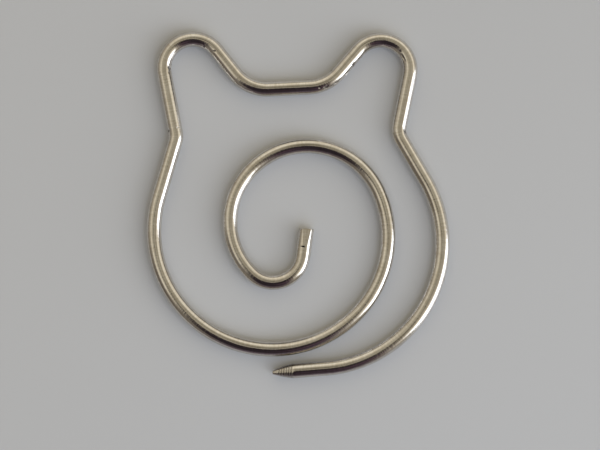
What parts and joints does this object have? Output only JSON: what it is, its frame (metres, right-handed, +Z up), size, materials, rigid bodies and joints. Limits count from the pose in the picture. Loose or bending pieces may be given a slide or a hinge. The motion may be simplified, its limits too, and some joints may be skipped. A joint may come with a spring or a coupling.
{
  "type": "stitch holder",
  "caption": "Flat stitch holder bent from one round wire: a pointed shank, a cat's face outline and a spiral inside it that ends in a hook.",
  "frame": {"origin": "middle of the outline, on the surface that the wire lies on", "axes": "+Z up from the surface, +Y towards the ears, +X to the face's right as seen from above"},
  "size_m": [0.0606, 0.0694, 0.003],
  "materials": {
    "plated_wire": "bright nickel plate, drawn lines along the wire"
  },
  "bodies": {
    "root": {"holder_wire": "plated_wire"}
  },
  "joints": []
}
